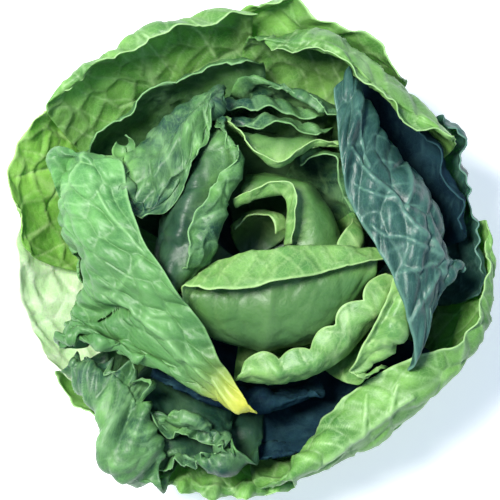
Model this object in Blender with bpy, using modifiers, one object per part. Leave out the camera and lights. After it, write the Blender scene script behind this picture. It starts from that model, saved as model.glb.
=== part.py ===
"""A loose butterhead lettuce that stands on its cut stem, one object for each leaf.

Every leaf is a thin sheet lofted from three lines: a short foot that clasps the stem, a wall that
bellies out round the head, and a rim, which is the free edge that shows from above.
Leaves are laid from the heart outwards, and each one is fitted over those already laid.
"""

import math
from typing import NamedTuple

import bmesh
import bpy
import numpy as np
from mathutils import Vector
from mathutils.bvhtree import BVHTree

# Driving dimensions, in metres
HEAD_WIDTH = 0.220
HEAD_HEIGHT = 0.112
BLADE_THICKNESS = 0.0010
LEAF_GAP = 0.0022
FOOT_LEAF_GAP = 0.0010
STEM_RADIUS = 0.0165
STEM_TIP_RADIUS = 0.0040
STEM_HEIGHT = 0.054
STEM_GAP = 0.0005
TOP_FOOT_BELOW_TIP = 0.004
LOWEST_FOOT = 0.009
FOOT_DIP = 0.003
FLOOR_GAP = 0.0005

# The leaf plan is drawn on a head of this size, in millimetres
DRAWN_WIDTH = 220.0
DRAWN_HEIGHT = 112.0

# The heart leans this far from the stem's axis, on the drawn head
HEART_LEAN = (14.0, -6.0)
HEART_LEAN_FADE = 120.0

# Leaves pack closer below this share of their length
LEAF_OPENS_AT = 0.5

# The lower handle of a wall stands at this share of its radius
BELLY_SHARE = 0.8

# A leaf's foot clasps this much of the stem, in degrees
FOOT_CLASP = 80.0
FOOT_MARGIN = 10.0

# The mesh of a leaf
RIM_STEP = 15.0
FEWEST_COLUMNS = 7
MOST_COLUMNS = 14
STEM_SIDES = 32
STEM_WELD = 0.00001
ROLL_LEAD = 0.002
WALL_ROWS = 8
ROLL_ROWS = 3
FLAP_ROWS = 2
PATH_STEPS = 80
ROW_CROWDING = 0.85  # below 1, the rows stand closer towards the rim
LEAST_ROLL = 0.05  # radians, where an edge that rolls elsewhere is almost straight

# Each leaf is fitted over the others along lines from a point just under the stem's tip,
# beside the axis by this much on the drawn head
NEST_CENTRE_ASIDE = (5.0, -3.0)
NEST_CENTRE_BELOW_TIP = 0.002
NEST_TURNS = 14
NEST_ENOUGH = 0.00005
SOFTEN_TURNS = 3
SOFTEN_SHARE = 0.9
REFINE = 4  # net cells are split this many times, each way, when a leaf is fitted


class Leaf(NamedTuple):
    """One leaf, in degrees and millimetres on the drawn head, counterclockwise from +X."""

    name: str
    sector: tuple  # azimuths between which the wall stands
    wall: tuple  # radius of the wall, and the height of its upper handle
    rim: tuple  # (azimuth, reach, height) along the free edge
    roll: tuple = (0,)  # how far the edge rolls outwards, at even steps along it
    roll_width: float = 0.0  # length of the curl in which the edge rolls
    flap: tuple = ()  # how far the folded edge runs on past the curl, at even steps along it


# Colour and roughness of each finish
FINISHES = {
    "cut_stem": ((0.72, 0.74, 0.50), 0.6),
    "heart_leaf": ((0.34, 0.62, 0.18), 0.4),
    "inner_leaf": ((0.12, 0.34, 0.09), 0.4),
    "bright_leaf": ((0.22, 0.62, 0.16), 0.4),
    "blue_green_leaf": ((0.08, 0.24, 0.16), 0.4),
    "outer_leaf": ((0.20, 0.46, 0.12), 0.4),
}

# The finish of every leaf that isn't an outer leaf
HEART = ("heart_tongue_leaf", "heart_left_leaf", "heart_rib_leaf", "heart_right_leaf",
         "heart_band_leaf", "far_scroll_leaf", "scalloped_leaf", "curled_leaf")
INNER = ("far_lobe_leaf", "left_lobe_leaf", "far_nested_leaf", "far_inner_band_leaf",
         "far_curl_leaf", "left_ruffled_leaf", "inner_near_leaf", "near_fold_leaf",
         "near_long_fold_leaf", "far_inner_wall_leaf", "right_inner_wall_leaf", "near_dark_wall_leaf")
BRIGHT = ("left_blade", "low_left_leaf", "left_base_leaf")
BLUE_GREEN = ("right_blade", "right_dark_leaf", "far_right_shoulder")


# From the heart outwards
LEAVES = (
    Leaf("heart_tongue_leaf", (48, 132), (28, 84),
         ((42, 14, 80), (64, 20, 84), (95, 19, 84), (120, 13, 80))),
    Leaf("heart_left_leaf", (146, 240), (44, 92), ((140, 22, 84), (190, 22, 86), (235, 20, 80))),
    Leaf("heart_rib_leaf", (5, 98), (50, 104),
         ((4, 17, 91), (34, 22, 95), (58, 28, 97), (82, 23, 96), (106, 21, 93)), (140,), 5, (4, 7, 6, 3)),
    Leaf("heart_right_leaf", (-45, 30), (52, 92), ((-20, 36, 80), (4, 33, 86), (18, 46, 84))),
    Leaf("heart_band_leaf", (200, 340), (56, 108),
         ((216, 34, 86), (210, 20, 91), (270, 3, 96), (359, 24, 97), (359, 56, 91)), (165,), 7,
         (6, 17, 16, 10, 5)),
    Leaf("far_lobe_leaf", (12, 72), (64, 100),
         ((23, 48, 90), (34, 48, 93), (50, 53, 95), (60, 44, 93))),
    Leaf("far_scroll_leaf", (52, 110), (66, 110),
         ((49, 57, 95), (61, 49, 98), (70, 38, 101), (90, 43, 101), (98, 56, 96)), (50, 140, 90, 30), 6,
         (0, 4, 3, 0)),
    Leaf("scalloped_leaf", (258, 350), (70, 98),
         ((269, 44, 84), (298, 46, 88), (318, 43, 91), (337, 46, 92), (350, 51, 90))),
    Leaf("curled_leaf", (302, 356), (80, 100),
         ((322, 78, 80), (309, 70, 84), (328, 55, 89), (348, 57, 92))),
    Leaf("left_lobe_leaf", (105, 215), (62, 112),
         ((107, 58, 94), (98, 38, 100), (135, 19, 100), (180, 16, 96), (210, 30, 88)), (120, 172), 12,
         (0, 0, 5, 12, 2)),
    Leaf("far_nested_leaf", (58, 118), (74, 104), ((60, 58, 92), (80, 54, 95), (100, 60, 91))),
    Leaf("far_inner_band_leaf", (62, 122), (82, 104), ((64, 66, 92), (82, 62, 95), (106, 68, 92))),
    Leaf("far_curl_leaf", (48, 104), (88, 104),
         ((55, 74, 92), (62, 65, 96), (70, 68, 97), (80, 76, 93)), (40,), 6),
    Leaf("left_ruffled_leaf", (100, 160), (92, 108),
         ((100, 62, 98), (112, 48, 101), (131, 40, 103), (152, 39, 102), (165, 46, 99), (152, 60, 96),
          (137, 74, 91)), (40, 20, 20, 30, 60), 6),
    Leaf("inner_near_leaf", (225, 300), (82, 84), ((232, 62, 60), (262, 58, 62), (292, 60, 60))),
    Leaf("right_blade", (-6, 62), (106, 112),
         ((-2, 90, 80), (-16, 80, 83), (-37, 85, 82), (-25, 65, 90), (-10, 54, 96), (12, 47, 101),
          (40, 49, 102), (62, 73, 95))),
    Leaf("near_fold_leaf", (222, 262), (92, 84),
         ((238, 88, 62), (250, 76, 70), (262, 84, 66)), (150,), 6, (2, 6, 2)),
    Leaf("near_long_fold_leaf", (234, 274), (102, 80),
         ((240, 100, 54), (252, 90, 62), (266, 78, 68)), (150,), 6, (2, 6, 2)),
    Leaf("left_blade", (148, 206), (116, 112),
         ((166, 86, 78), (151, 78, 90), (146, 64, 97), (156, 54, 100), (180, 43, 101), (206, 37, 102),
          (234, 38, 100), (262, 58, 93), (274, 74, 84), (258, 64, 82), (238, 58, 82), (218, 62, 80),
          (202, 84, 70))),
    Leaf("far_inner_wall_leaf", (85, 150), (100, 92), ((90, 86, 84), (115, 90, 84), (142, 88, 80))),
    Leaf("right_inner_wall_leaf", (5, 60), (112, 92), ((8, 98, 78), (30, 96, 80), (55, 94, 82))),
    Leaf("near_dark_wall_leaf", (268, 335), (100, 78), ((272, 80, 50), (300, 86, 50), (330, 92, 54))),
    Leaf("far_right_band", (28, 94), (116, 106),
         ((30, 98, 86), (42, 86, 91), (56, 81, 93), (68, 85, 93), (84, 91, 91)), (30, 60, 20), 8),
    Leaf("low_left_leaf", (210, 250), (112, 84),
         ((210, 90, 62), (220, 80, 71), (232, 76, 73), (246, 88, 62)), (60, 110, 60), 6),
    Leaf("far_right_shoulder", (22, 76), (104, 82),
         ((26, 96, 62), (34, 99, 65), (52, 95, 67), (72, 92, 66))),
    Leaf("right_dark_leaf", (-12, 40), (116, 82), ((-2, 107, 68), (12, 105, 72), (32, 101, 74))),
    Leaf("near_right_wrapper", (268, 372), (124, 90),
         ((287, 91, 58), (293, 82, 66), (310, 76, 74), (326, 83, 80), (337, 99, 80), (350, 106, 78),
          (364, 107, 72))),
    Leaf("near_frill_leaf", (236, 286), (108, 60),
         ((240, 100, 42), (254, 104, 44), (268, 103, 46), (284, 94, 52)), (70,), 8),
    Leaf("far_left_wrapper", (90, 146), (130, 102),
         ((88, 111, 84), (102, 107, 88), (120, 107, 86), (138, 114, 78))),
    Leaf("far_open_leaf", (48, 98), (112, 72),
         ((50, 106, 82), (57, 112, 84), (72, 111, 84), (86, 106, 82))),
    Leaf("far_left_open_leaf", (138, 180), (112, 62),
         ((140, 112, 72), (152, 118, 70), (163, 116, 66), (170, 107, 60))),
    Leaf("left_base_leaf", (164, 214), (108, 48),
         ((166, 111, 52), (177, 110, 50), (190, 107, 46), (208, 99, 42))),
    Leaf("low_near_leaf", (208, 262), (104, 40),
         ((208, 99, 42), (226, 99, 38), (243, 101, 36), (254, 104, 34))),
    Leaf("low_right_leaf", (300, 362), (106, 44), ((302, 99, 36), (330, 103, 40), (358, 105, 42))),
    Leaf("low_far_leaf", (60, 126), (108, 46), ((64, 106, 46), (92, 106, 48), (122, 106, 46))),
    Leaf("low_far_right_leaf", (2, 56), (106, 42), ((8, 105, 42), (30, 105, 44), (52, 105, 44))),
)


def across():
    """Metres for each millimetre of the plan, sideways."""
    return HEAD_WIDTH / DRAWN_WIDTH


def drawn(point):
    """A point of the leaf plan in metres, on a head of the driving size."""
    x, y, z = point
    return np.array((x * across(), y * across(), z * HEAD_HEIGHT / DRAWN_HEIGHT))


def polar(azimuth, reach, height):
    """A point of the leaf plan from its azimuth in degrees, its reach and its height."""
    turn = math.radians(azimuth)
    return drawn((reach * math.cos(turn), reach * math.sin(turn), height))


def through(points, steps):
    """Places at `steps` (0 to 1) along a smooth curve through the points."""
    points = np.asarray(points, float).reshape(len(points), -1)
    if len(points) == 1:
        return np.repeat(points, len(steps), axis=0)
    lengths = np.linalg.norm(np.diff(points, axis=0), axis=1)
    if points.shape[1] == 1:
        knots = np.linspace(0.0, 1.0, len(points))
    else:
        knots = np.concatenate(([0.0], np.cumsum(lengths))) / lengths.sum()
    slopes = np.gradient(points, knots, axis=0) if len(points) > 2 else np.diff(points, axis=0).repeat(2, 0)
    span = np.clip(np.searchsorted(knots, steps, side="right") - 1, 0, len(points) - 2)
    width = (knots[span + 1] - knots[span])[:, None]
    t = ((steps - knots[span]) / width[:, 0])[:, None]
    return (
        points[span] * (1 + 2 * t) * (1 - t) ** 2
        + slopes[span] * width * t * (1 - t) ** 2
        + points[span + 1] * t * t * (3 - 2 * t)
        + slopes[span + 1] * width * t * t * (t - 1)
    )


def stem_radius(height):
    """The stem's radius at a height above the cut."""
    share = min(max(height / STEM_HEIGHT, 0.0), 1.0)
    return STEM_RADIUS + (STEM_TIP_RADIUS - STEM_RADIUS) * share


def wall_point(azimuth, radius, height):
    """A point on a leaf's wall, round the leaning heart."""
    lean = max(0.0, 1.0 - radius / HEART_LEAN_FADE) * min(1.0, height / DRAWN_HEIGHT)
    return drawn((
        radius * math.cos(azimuth) + HEART_LEAN[0] * lean,
        radius * math.sin(azimuth) + HEART_LEAN[1] * lean,
        height,
    ))


def foot_heights():
    """Each leaf's foot height: feet that would overlap take even steps down the stem."""
    placed = []
    for leaf in LEAVES:
        middle = sum(leaf.sector) / 2
        step = 0
        for other_middle, other_step in placed:
            apart = abs((middle - other_middle + 180) % 360 - 180)
            if apart < FOOT_CLASP + FOOT_MARGIN:
                step = max(step, other_step + 1)
        placed.append((middle, step))
    top = STEM_HEIGHT - TOP_FOOT_BELOW_TIP
    spacing = (top - LOWEST_FOOT) / max(step for _, step in placed)
    return [top - step * spacing for _, step in placed]


def nest_centre():
    """The point that the leaves are fitted outwards from."""
    x, y = NEST_CENTRE_ASIDE
    return np.array((x * across(), y * across(), STEM_HEIGHT - NEST_CENTRE_BELOW_TIP))


def clearance(share):
    """The least distance between the middles of two blades, at a share of the way up from the foot."""
    opened = min(1.0, share / LEAF_OPENS_AT)
    return BLADE_THICKNESS + FOOT_LEAF_GAP + (LEAF_GAP - FOOT_LEAF_GAP) * opened


def columns_of(leaf):
    """How many lines of points run up a leaf."""
    rim = np.array([polar(*station) for station in leaf.rim]) / across()
    length = np.linalg.norm(np.diff(rim, axis=0), axis=1).sum()
    return int(min(max(round(length / RIM_STEP) + 2, FEWEST_COLUMNS), MOST_COLUMNS))


def meridian(foot, low, high, rim, roll, roll_width, flap):
    """Points up one line of a leaf, from its foot to its rim, where it may fold over."""
    t = np.linspace(0.0, 1.0, PATH_STEPS)[:, None]
    path = (
        foot * (1 - t) ** 3 + low * 3 * t * (1 - t) ** 2 + high * 3 * t * t * (1 - t) + rim * t**3
    )
    steps = np.linalg.norm(np.diff(path, axis=0), axis=1)
    along = np.concatenate(([0.0], np.cumsum(steps)))
    crowded = np.linspace(0.0, 1.0, WALL_ROWS) ** ROW_CROWDING
    if roll_width <= 0:
        wanted = crowded * along[-1]
        return np.stack([np.interp(wanted, along, path[:, k]) for k in range(3)], axis=1)
    reach = roll_width / max(roll, LEAST_ROLL)
    start = along[-1] - reach * math.sin(min(roll, math.pi / 2))
    wanted = crowded * start
    body = np.stack([np.interp(wanted, along, path[:, k]) for k in range(3)], axis=1)
    ahead = body[-1] - np.array([np.interp(start - ROLL_LEAD, along, path[:, k]) for k in range(3)])
    ahead /= np.linalg.norm(ahead)
    outward = body[-1] - nest_centre()
    outward -= ahead * (outward @ ahead)
    outward /= np.linalg.norm(outward)
    turn = np.linspace(0.0, roll, ROLL_ROWS + 1)[1:, None]
    lip = body[-1] + reach * (np.sin(turn) * ahead + (1 - np.cos(turn)) * outward)
    if flap is None:
        return np.concatenate((body, lip))
    steps = np.linspace(0.0, flap, FLAP_ROWS + 1)[1:, None]
    back = lip[-1] + steps * (math.cos(roll) * ahead + math.sin(roll) * outward)
    return np.concatenate((body, lip, back))


def leaf_net(leaf, height):
    """The leaf's points before it is fitted over the others: rows from foot to rim, by columns."""
    u = np.linspace(0.0, 1.0, columns_of(leaf))
    rim = through([polar(*station) for station in leaf.rim], u)
    rolls = np.radians(through([[a] for a in leaf.roll], u)[:, 0])
    start, end = (math.radians(a) for a in leaf.sector)
    radius, high = leaf.wall
    flaps = [None] * len(u)
    if leaf.flap:
        flaps = through([[length] for length in leaf.flap], u)[:, 0] * across()
    low = (height - FOOT_DIP) * DRAWN_HEIGHT / HEAD_HEIGHT
    reach = stem_radius(height) + STEM_GAP + BLADE_THICKNESS / 2
    lines = []
    for i, share in enumerate(u):
        azimuth = start + (end - start) * share
        clasp = (start + end) / 2 + math.radians(FOOT_CLASP) * (share - 0.5)
        foot = np.array((reach * math.cos(clasp), reach * math.sin(clasp), height))
        under = wall_point(azimuth, radius * BELLY_SHARE, low)
        over = wall_point(azimuth, radius, high)
        width = leaf.roll_width * across()
        lines.append(meridian(foot, under, over, rim[i], rolls[i], width, flaps[i]))
    return np.stack(lines, axis=1)


def quads(rows, columns):
    """Corner numbers of the faces of a net."""
    return [
        (r * columns + c, r * columns + c + 1, (r + 1) * columns + c + 1, (r + 1) * columns + c)
        for r in range(rows - 1)
        for c in range(columns - 1)
    ]


def refined(net):
    """The net with a point added in the middle of every edge and face."""
    rows = np.empty((net.shape[0] * 2 - 1, *net.shape[1:]))
    rows[::2] = net
    rows[1::2] = (net[1:] + net[:-1]) / 2
    both = np.empty((rows.shape[0], net.shape[1] * 2 - 1, *net.shape[2:]))
    both[:, ::2] = rows
    both[:, 1::2] = (rows[:, 1:] + rows[:, :-1]) / 2
    return both


def softened(push):
    """The push eased outwards, so that a leaf bends over its neighbour and doesn't step."""
    for _ in range(SOFTEN_TURNS):
        padded = np.pad(push, 1, mode="edge")
        mean = (
            padded[:-2, 1:-1] + padded[2:, 1:-1] + padded[1:-1, :-2] + padded[1:-1, 2:]
        ) / 4
        push = np.maximum(push, mean * SOFTEN_SHARE)
    return push


def clear_of_stem_and_floor(net):
    """The net with no point inside the stem or under the surface that the head stands on."""
    net = net.copy()
    net[1:, :, 2] = np.maximum(net[1:, :, 2], FLOOR_GAP + BLADE_THICKNESS)
    for point in net[1:].reshape(-1, 3):
        reach = math.hypot(point[0], point[1])
        least = stem_radius(point[2]) + STEM_GAP + BLADE_THICKNESS
        if point[2] < STEM_HEIGHT and reach < least:
            point[:2] *= least / max(reach, STEM_GAP)
    return net


def need_from_inside(net, laid, centre):
    """The push that each point of the net needs to stand outside the leaves already laid."""
    fine = refined(refined(net))
    need = np.zeros(net.shape[:2])
    far = HEAD_WIDTH
    for r in range(1, fine.shape[0]):
        apart = clearance(r / (fine.shape[0] - 1))
        for c in range(fine.shape[1]):
            ray = Vector(fine[r, c]) - centre
            distance = ray.length
            ray.normalize()
            hit = laid.ray_cast(centre + ray * far, -ray, far)[3]
            if hit is None or far - hit + apart <= distance:
                continue
            push = far - hit + apart - distance
            rows = slice(r // REFINE, -(-r // REFINE) + 1)
            columns = slice(c // REFINE, -(-c // REFINE) + 1)
            need[rows, columns] = np.maximum(need[rows, columns], push)
    return need


def need_from_outside(net, laid_points, centre):
    """The same push, asked by each point already laid that the net would cross or come near.

    The faces at the foot are left out: the foot stays on the stem, so no push could clear them.
    """
    faces = quads(*net.shape[:2])
    at_foot = net.shape[1] - 1
    apart = [clearance(face // at_foot / (net.shape[0] - 1)) for face in range(len(faces))]
    tree = BVHTree.FromPolygons([Vector(p) for p in net.reshape(-1, 3)], faces)
    need = np.zeros(net.shape[:2])
    flat = need.reshape(-1)
    for point in laid_points:
        ray = point - centre
        distance = ray.length
        hit, _, face, reach = tree.ray_cast(centre, ray.normalized(), distance + clearance(1.0))
        if hit is None or face < at_foot:
            continue
        corners = list(faces[face])
        flat[corners] = np.maximum(flat[corners], distance + apart[face] - reach)
    return need


def nested(net, laid, laid_points):
    """The net moved outwards until it clears every leaf already laid."""
    centre = Vector(nest_centre())
    for _ in range(NEST_TURNS):
        need = need_from_inside(net, laid, centre)
        need = np.maximum(need, need_from_outside(net, laid_points, centre))
        need[0] = 0.0
        if need.max() < NEST_ENOUGH:
            break
        push = softened(need)
        push[0] = 0.0
        rays = net - np.array(centre)
        net = net + rays / np.linalg.norm(rays, axis=2, keepdims=True) * push[:, :, None]
        net = clear_of_stem_and_floor(net)
    return net


def lay_leaves():
    """Every leaf's net, each fitted over the leaves inside it."""
    points, faces, samples, nets = [], [], [], {}
    for leaf, height in zip(LEAVES, foot_heights()):
        net = leaf_net(leaf, height)
        if faces:
            net = nested(net, BVHTree.FromPolygons(points, faces), samples)
        first = len(points)
        points += [Vector(p) for p in net.reshape(-1, 3)]
        faces += [tuple(first + n for n in face) for face in quads(*net.shape[:2])]
        samples += [Vector(p) for p in refined(net)[2:].reshape(-1, 3)]
        nets[leaf.name] = net
    return nets


def material(name, colour, roughness):
    """A plain finish."""
    made = bpy.data.materials.new(name)
    made.use_nodes = True
    shader = made.node_tree.nodes["Principled BSDF"]
    shader.inputs["Base Color"].default_value = (*colour, 1.0)
    shader.inputs["Roughness"].default_value = roughness
    return made


def finish_of(leaf_name):
    """The name of a leaf's finish."""
    groups = {"heart_leaf": HEART, "inner_leaf": INNER, "bright_leaf": BRIGHT, "blue_green_leaf": BLUE_GREEN}
    for finish, names in groups.items():
        if leaf_name in names:
            return finish
    return "outer_leaf"


def leaf_object(name, net, finish, collection):
    """A leaf's sheet as an object, thickened by Solidify."""
    rows, columns = net.shape[:2]
    sheet = bmesh.new()
    bmesh.ops.create_grid(sheet, x_segments=columns - 1, y_segments=rows - 1, size=1.0)
    sheet.verts.ensure_lookup_table()
    for vertex, place in zip(sheet.verts, net.reshape(-1, 3)):
        vertex.co = place
    mesh = bpy.data.meshes.new(name)
    sheet.to_mesh(mesh)
    sheet.free()
    mesh.shade_smooth()
    mesh.materials.append(finish)
    leaf = bpy.data.objects.new(name, mesh)
    collection.objects.link(leaf)
    thick = leaf.modifiers.new("thickness", "SOLIDIFY")
    thick.thickness = BLADE_THICKNESS
    thick.offset = 0.0
    thick.use_even_offset = False
    return leaf


def stem_object(finish, collection):
    """The stem, turned from a profile that runs from its tip down to the cut face."""
    profile = bmesh.new()
    outline = (
        (0.0, STEM_HEIGHT),
        (STEM_TIP_RADIUS, STEM_HEIGHT),
        (STEM_RADIUS, 0.0),
        (0.0, 0.0),
    )
    corners = [profile.verts.new((radius, 0.0, height)) for radius, height in outline]
    for above, below in zip(corners, corners[1:]):
        profile.edges.new((above, below))
    mesh = bpy.data.meshes.new("stem")
    profile.to_mesh(mesh)
    profile.free()
    mesh.materials.append(finish)
    stem = bpy.data.objects.new("stem", mesh)
    collection.objects.link(stem)
    turned = stem.modifiers.new("turned", "SCREW")
    turned.steps = STEM_SIDES
    turned.render_steps = STEM_SIDES
    turned.use_merge_vertices = True
    turned.merge_threshold = STEM_WELD
    return stem


def main():
    for old in list(bpy.data.objects):
        bpy.data.objects.remove(old)
    head = bpy.data.collections.new("lettuce")
    bpy.context.scene.collection.children.link(head)
    finishes = {name: material(name, *look) for name, look in FINISHES.items()}
    stem_object(finishes["cut_stem"], head)
    for name, net in lay_leaves().items():
        leaf_object(name, net, finishes[finish_of(name)], head)


main()
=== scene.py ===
# %% [markdown]
# # A loose butterhead lettuce
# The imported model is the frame: a thin plain solid for each leaf, and the stem.
# This script gives every leaf its real surface. Each leaf is rebuilt on the same net as its plain
# solid, then gets its ribs, veins, blisters and ruffled edge, and a living leaf's colour.

# %% Load the frame
import math
from typing import NamedTuple

import bmesh
import bpy
import numpy as np
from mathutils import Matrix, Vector
from mathutils.bvhtree import BVHTree


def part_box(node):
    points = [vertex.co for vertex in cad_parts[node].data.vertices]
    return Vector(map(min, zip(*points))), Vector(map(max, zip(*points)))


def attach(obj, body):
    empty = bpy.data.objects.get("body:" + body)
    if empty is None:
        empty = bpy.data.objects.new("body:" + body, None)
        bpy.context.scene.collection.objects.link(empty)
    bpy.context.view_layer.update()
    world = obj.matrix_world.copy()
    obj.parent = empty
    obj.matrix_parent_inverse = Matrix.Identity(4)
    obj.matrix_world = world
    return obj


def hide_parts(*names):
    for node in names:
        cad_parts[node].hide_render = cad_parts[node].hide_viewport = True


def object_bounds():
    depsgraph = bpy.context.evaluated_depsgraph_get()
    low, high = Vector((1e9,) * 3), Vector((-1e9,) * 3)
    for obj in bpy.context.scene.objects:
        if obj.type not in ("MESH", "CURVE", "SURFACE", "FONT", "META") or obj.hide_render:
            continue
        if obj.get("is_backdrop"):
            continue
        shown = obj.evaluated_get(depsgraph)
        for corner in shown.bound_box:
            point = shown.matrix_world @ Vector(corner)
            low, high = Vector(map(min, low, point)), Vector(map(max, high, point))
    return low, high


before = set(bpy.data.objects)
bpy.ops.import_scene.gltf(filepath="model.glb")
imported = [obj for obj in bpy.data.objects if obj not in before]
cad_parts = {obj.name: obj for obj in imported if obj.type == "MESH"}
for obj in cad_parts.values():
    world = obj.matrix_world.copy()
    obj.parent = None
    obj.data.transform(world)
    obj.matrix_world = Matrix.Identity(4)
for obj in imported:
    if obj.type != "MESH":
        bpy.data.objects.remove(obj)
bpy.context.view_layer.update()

# %% [markdown]
# ## The camera
# The head is looked at from nearly straight above, so the camera comes before anything else.

# %% Camera
VIEW_HEIGHT = 80.0  # degrees above the horizon
VIEW_DISTANCE = 0.85
VIEW_WIDTH = 0.230
AIM = (0.0, 0.0058, 0.060)


def place_camera():
    """A camera that looks down on the head."""
    lens = bpy.data.cameras.new("camera")
    camera = bpy.data.objects.new("camera", lens)
    bpy.context.scene.collection.objects.link(camera)
    tilt = math.radians(VIEW_HEIGHT)
    back = Vector((0.0, -math.cos(tilt), math.sin(tilt)))
    camera.location = Vector(AIM) + back * VIEW_DISTANCE
    camera.rotation_euler = (-back).to_track_quat("-Z", "Y").to_euler()
    lens.lens = lens.sensor_width * VIEW_DISTANCE / VIEW_WIDTH
    bpy.context.scene.camera = camera


place_camera()
print("camera", VIEW_DISTANCE, "m from the head")

# %% [markdown]
# ## The leaf plan
# A head of lettuce is one stem with its leaves wrapped round it, the youngest in the middle. Each
# leaf could be sculpted, but then forty sheets would cut through one another. Here a leaf is lofted
# from its foot, its wall and its rim, and fitted over the leaves inside it, as it grew.
# The plan and the fitting are those of the plain model, so every leaf lands on its own solid.

# %% Sizes of the plan
# Driving dimensions, in metres
HEAD_WIDTH = 0.220
HEAD_HEIGHT = 0.112
BLADE_THICKNESS = 0.0010
LEAF_GAP = 0.0022
FOOT_LEAF_GAP = 0.0010
STEM_RADIUS = 0.0165
STEM_TIP_RADIUS = 0.0040
STEM_HEIGHT = 0.054
STEM_GAP = 0.0005
TOP_FOOT_BELOW_TIP = 0.004
LOWEST_FOOT = 0.009
FOOT_DIP = 0.003
FLOOR_GAP = 0.0005

# The leaf plan is drawn on a head of this size, in millimetres
DRAWN_WIDTH = 220.0
DRAWN_HEIGHT = 112.0

# The heart leans this far from the stem's axis, on the drawn head
HEART_LEAN = (14.0, -6.0)
HEART_LEAN_FADE = 120.0

# Leaves pack closer below this share of their length
LEAF_OPENS_AT = 0.5

# The lower handle of a wall stands at this share of its radius
BELLY_SHARE = 0.8

# A leaf's foot clasps this much of the stem, in degrees
FOOT_CLASP = 80.0
FOOT_MARGIN = 10.0

# The mesh of a leaf
RIM_STEP = 15.0
FEWEST_COLUMNS = 7
MOST_COLUMNS = 14
ROLL_LEAD = 0.002
WALL_ROWS = 8
ROLL_ROWS = 3
FLAP_ROWS = 2
PATH_STEPS = 80
ROW_CROWDING = 0.85  # below 1, the rows stand closer towards the rim
LEAST_ROLL = 0.05  # radians, where an edge that rolls elsewhere is almost straight

# Each leaf is fitted over the others along lines from a point just under the stem's tip,
# beside the axis by this much on the drawn head
NEST_CENTRE_ASIDE = (5.0, -3.0)
NEST_CENTRE_BELOW_TIP = 0.002
NEST_TURNS = 14
NEST_ENOUGH = 0.00005
SOFTEN_TURNS = 3
SOFTEN_SHARE = 0.9
REFINE = 4  # net cells are split this many times, each way, when a leaf is fitted


# %% What a leaf is
class Leaf(NamedTuple):
    """One leaf, in degrees and millimetres on the drawn head, counterclockwise from +X."""

    name: str
    sector: tuple  # azimuths between which the wall stands
    wall: tuple  # radius of the wall, and the height of its upper handle
    rim: tuple  # (azimuth, reach, height) along the free edge
    roll: tuple = (0,)  # how far the edge rolls outwards, at even steps along it
    roll_width: float = 0.0  # length of the curl in which the edge rolls
    flap: tuple = ()  # how far the folded edge runs on past the curl, at even steps along it


# The finish of every leaf that isn't an outer leaf
HEART = ("heart_tongue_leaf", "heart_left_leaf", "heart_rib_leaf", "heart_right_leaf",
         "heart_band_leaf", "far_scroll_leaf", "scalloped_leaf", "curled_leaf")
INNER = ("far_lobe_leaf", "left_lobe_leaf", "far_nested_leaf", "far_inner_band_leaf",
         "far_curl_leaf", "left_ruffled_leaf", "inner_near_leaf", "near_fold_leaf",
         "near_long_fold_leaf", "far_inner_wall_leaf", "right_inner_wall_leaf", "near_dark_wall_leaf")
BRIGHT = ("left_blade", "low_left_leaf", "left_base_leaf")
BLUE_GREEN = ("right_blade", "right_dark_leaf", "far_right_shoulder")


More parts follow.
